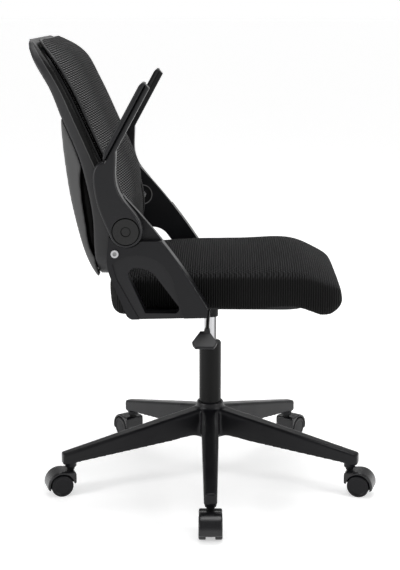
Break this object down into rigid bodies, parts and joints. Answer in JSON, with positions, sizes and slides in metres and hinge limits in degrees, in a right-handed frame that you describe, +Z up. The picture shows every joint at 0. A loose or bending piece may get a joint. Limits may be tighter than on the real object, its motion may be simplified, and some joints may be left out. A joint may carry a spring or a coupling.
{
  "type": "office chair",
  "caption": "Swivel task chair with padded seat, tall curved back, fold-up arms, height lever, gas column and a star base on twin-wheel casters.",
  "frame": {"origin": "on the floor under the column's axis", "axes": "+X forward from the seat, +Y to the sitter's left, +Z up"},
  "size_m": [0.7534, 0.7206, 1.011],
  "materials": {
    "leg_plastic": "satin moulded plastic with a fine grain",
    "black_plastic": "satin moulded plastic",
    "column_paint": "satin black powder coat",
    "tube_chrome": "bright plated",
    "steel": "plain",
    "bolt_steel": "bright zinc",
    "bush_plastic": "plain",
    "plate_paint": "black paint",
    "seat_fabric": "ribbed open-weave cloth over foam",
    "back_fabric": "fine mesh cloth over foam",
    "arm_pad_skin": "soft moulded foam skin",
    "wheel_plastic": "satin nylon"
  },
  "bodies": {
    "base": {"base_star": "leg_plastic", "column_tube": "column_paint", "column_bush": "bush_plastic", "thrust_bearing": "steel"},
    "piston": {"piston_rod": "steel", "retaining_clip": "steel"},
    "seat": {"pressure_tube": "tube_chrome", "seat_plate": "plate_paint", "plate_bolts": "steel", "lever_pin": "steel", "seat_pan": "black_plastic", "seat_cushion": "seat_fabric", "bracket_right": "black_plastic", "bracket_left": "black_plastic", "bracket_bolts": "steel", "back_bolts": "bolt_steel", "arm_pivot_pins": "bolt_steel", "back_frame": "black_plastic", "back_yoke": "black_plastic", "yoke_screws": "bolt_steel", "back_board": "black_plastic", "board_screws": "bolt_steel", "back_pad": "back_fabric"},
    "valve": {"valve_button": "steel"},
    "lever": {"lever_rod": "column_paint", "lever_paddle": "black_plastic"},
    "arm_right": {"armrest_right": "black_plastic", "arm_pad_right": "arm_pad_skin", "pivot_cap_right": "black_plastic"},
    "arm_left": {"armrest_left": "black_plastic", "arm_pad_left": "arm_pad_skin", "pivot_cap_left": "black_plastic"},
    "caster_1": {"caster_hood_1": "black_plastic", "caster_stem_1": "steel", "caster_axle_1": "steel"},
    "wheel_1a": {"caster_wheel_1a": "wheel_plastic"},
    "wheel_1b": {"caster_wheel_1b": "wheel_plastic"},
    "caster_2": {"caster_hood_2": "black_plastic", "caster_stem_2": "steel", "caster_axle_2": "steel"},
    "wheel_2a": {"caster_wheel_2a": "wheel_plastic"},
    "wheel_2b": {"caster_wheel_2b": "wheel_plastic"},
    "caster_3": {"caster_hood_3": "black_plastic", "caster_stem_3": "steel", "caster_axle_3": "steel"},
    "wheel_3a": {"caster_wheel_3a": "wheel_plastic"},
    "wheel_3b": {"caster_wheel_3b": "wheel_plastic"},
    "caster_4": {"caster_hood_4": "black_plastic", "caster_stem_4": "steel", "caster_axle_4": "steel"},
    "wheel_4a": {"caster_wheel_4a": "wheel_plastic"},
    "wheel_4b": {"caster_wheel_4b": "wheel_plastic"},
    "caster_5": {"caster_hood_5": "black_plastic", "caster_stem_5": "steel", "caster_axle_5": "steel"},
    "wheel_5a": {"caster_wheel_5a": "wheel_plastic"},
    "wheel_5b": {"caster_wheel_5b": "wheel_plastic"}
  },
  "joints": [
    {"name": "seat_swivel", "type": "hinge", "parent": "base", "child": "piston", "pos_m": [0, 0, 0.112], "axis": [0, 0, 1], "continuous": true},
    {"name": "seat_height", "type": "slide", "parent": "piston", "child": "seat", "axis": [0, 0, 1], "range_m": [-0.05, 0.05]},
    {"name": "lever_lift", "type": "hinge", "parent": "seat", "child": "lever", "pos_m": [-0.003, -0.06, 0.417], "axis": [-1, 0, 0], "range_deg": [0, 5], "stiffness_Nm_per_rad": 6},
    {"name": "valve_press", "type": "slide", "parent": "seat", "child": "valve", "axis": [0, 0, 1], "range_m": [-0.006, 0]},
    {"name": "arm_right_fold", "type": "hinge", "parent": "seat", "child": "arm_right", "pos_m": [-0.168, -0.262, 0.631], "axis": [0, 1, 0], "range_deg": [0, 61.3]},
    {"name": "arm_left_fold", "type": "hinge", "parent": "seat", "child": "arm_left", "pos_m": [-0.168, 0.262, 0.631], "axis": [0, 1, 0], "range_deg": [0, 61.3]},
    {"name": "caster_1_swivel", "type": "hinge", "parent": "base", "child": "caster_1", "pos_m": [0.00578, -0.33095, 0.0615], "axis": [0, 0, 1], "continuous": true},
    {"name": "wheel_1a_spin", "type": "hinge", "parent": "caster_1", "child": "wheel_1a", "pos_m": [0.0062, -0.35495, 0.025], "axis": [0.9998, 0.0175, 0], "continuous": true},
    {"name": "wheel_1b_spin", "type": "hinge", "parent": "caster_1", "child": "wheel_1b", "pos_m": [0.0062, -0.35495, 0.025], "axis": [0.9998, 0.0175, 0], "continuous": true},
    {"name": "caster_2_swivel", "type": "hinge", "parent": "base", "child": "caster_2", "pos_m": [0.31654, -0.09677, 0.0615], "axis": [0, 0, 1], "continuous": true},
    {"name": "wheel_2a_spin", "type": "hinge", "parent": "caster_2", "child": "wheel_2a", "pos_m": [0.33949, -0.10379, 0.025], "axis": [0.2924, 0.9563, 0], "continuous": true},
    {"name": "wheel_2b_spin", "type": "hinge", "parent": "caster_2", "child": "wheel_2b", "pos_m": [0.33949, -0.10379, 0.025], "axis": [0.2924, 0.9563, 0], "continuous": true},
    {"name": "caster_3_swivel", "type": "hinge", "parent": "base", "child": "caster_3", "pos_m": [0.18985, 0.27114, 0.0615], "axis": [0, 0, 1], "continuous": true},
    {"name": "wheel_3a_spin", "type": "hinge", "parent": "caster_3", "child": "wheel_3a", "pos_m": [0.20362, 0.2908, 0.025], "axis": [-0.8192, 0.5736, 0], "continuous": true},
    {"name": "wheel_3b_spin", "type": "hinge", "parent": "caster_3", "child": "wheel_3b", "pos_m": [0.20362, 0.2908, 0.025], "axis": [-0.8192, 0.5736, 0], "continuous": true},
    {"name": "caster_4_swivel", "type": "hinge", "parent": "base", "child": "caster_4", "pos_m": [-0.1992, 0.26435, 0.0615], "axis": [0, 0, 1], "continuous": true},
    {"name": "wheel_4a_spin", "type": "hinge", "parent": "caster_4", "child": "wheel_4a", "pos_m": [-0.21364, 0.28352, 0.025], "axis": [-0.7986, -0.6018, 0], "continuous": true},
    {"name": "wheel_4b_spin", "type": "hinge", "parent": "caster_4", "child": "wheel_4b", "pos_m": [-0.21364, 0.28352, 0.025], "axis": [-0.7986, -0.6018, 0], "continuous": true},
    {"name": "caster_5_swivel", "type": "hinge", "parent": "base", "child": "caster_5", "pos_m": [-0.31297, -0.10776, 0.0615], "axis": [0, 0, 1], "continuous": true},
    {"name": "wheel_5a_spin", "type": "hinge", "parent": "caster_5", "child": "wheel_5a", "pos_m": [-0.33566, -0.11558, 0.025], "axis": [0.3256, -0.9455, 0], "continuous": true},
    {"name": "wheel_5b_spin", "type": "hinge", "parent": "caster_5", "child": "wheel_5b", "pos_m": [-0.33566, -0.11558, 0.025], "axis": [0.3256, -0.9455, 0], "continuous": true}
  ],
  "couplings": [
    {"joint": "valve_press", "follows": "lever_lift", "m_per_rad": -0.066}
  ]
}
